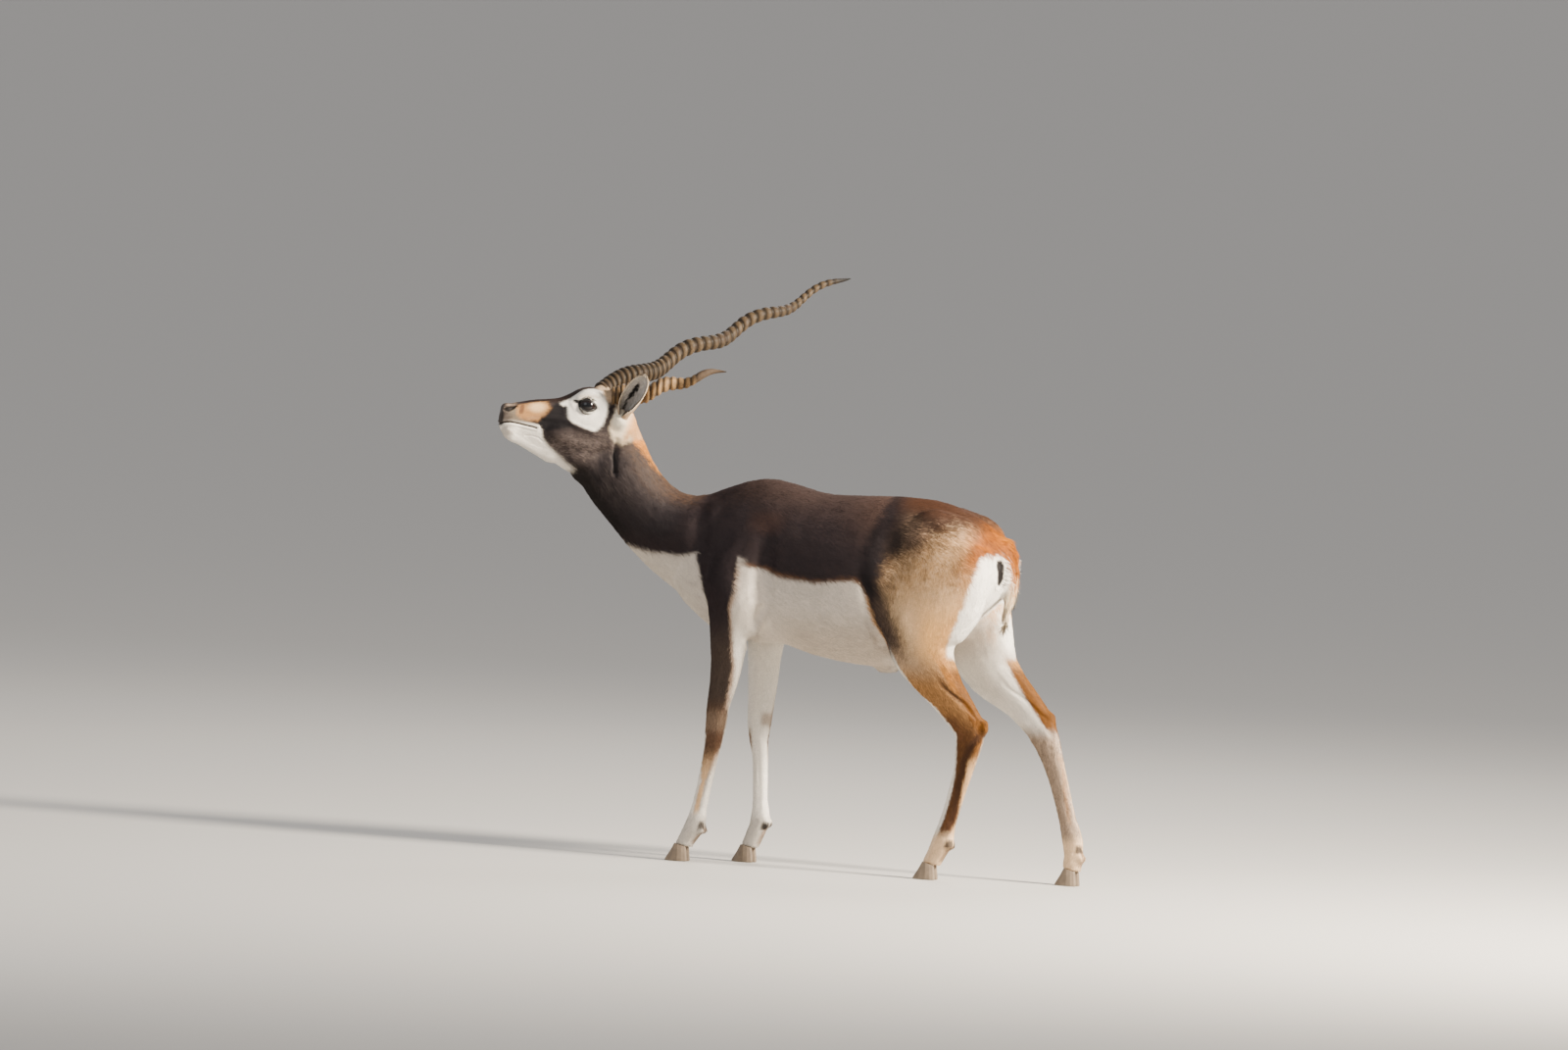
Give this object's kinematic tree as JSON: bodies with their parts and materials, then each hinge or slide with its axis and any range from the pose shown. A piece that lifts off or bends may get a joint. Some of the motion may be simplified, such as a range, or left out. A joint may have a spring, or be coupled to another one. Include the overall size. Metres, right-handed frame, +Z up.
{
  "type": "blackbuck",
  "caption": "Standing male blackbuck antelope, life size, head raised and turned, with twisted ringed horns and cloven hooves; a still animal figure for scenes",
  "frame": {"origin": "bottom centre of the whole animal's bounding box, on the ground", "axes": "+Z up; the animal's body faces -X; its right side is towards +Y and its left side towards -Y"},
  "size_m": [1.1536, 0.557, 1.106],
  "materials": {
    "coat": "short dense hair, matte",
    "eye": "wet, glossy, dark brown",
    "horn": "dull ribbed horn, darker smooth tip",
    "hoof": "dark, slightly worn"
  },
  "bodies": {
    "root": {"head": "coat", "neck": "coat", "torso": "coat", "tail": "coat", "ear_left": "coat", "ear_right": "coat", "eye_left": "eye", "eye_right": "eye", "horn_left": "horn", "horn_right": "horn", "foreleg_left_upper": "coat", "foreleg_left_lower": "coat", "foreleg_right_upper": "coat", "foreleg_right_lower": "coat", "hindleg_left_upper": "coat", "hindleg_left_lower": "coat", "hindleg_right_upper": "coat", "hindleg_right_lower": "coat", "hoof_fore_left_outer": "hoof", "hoof_fore_left_inner": "hoof", "hoof_fore_right_outer": "hoof", "hoof_fore_right_inner": "hoof", "hoof_hind_left_outer": "hoof", "hoof_hind_left_inner": "hoof", "hoof_hind_right_outer": "hoof", "hoof_hind_right_inner": "hoof"}
  },
  "joints": []
}
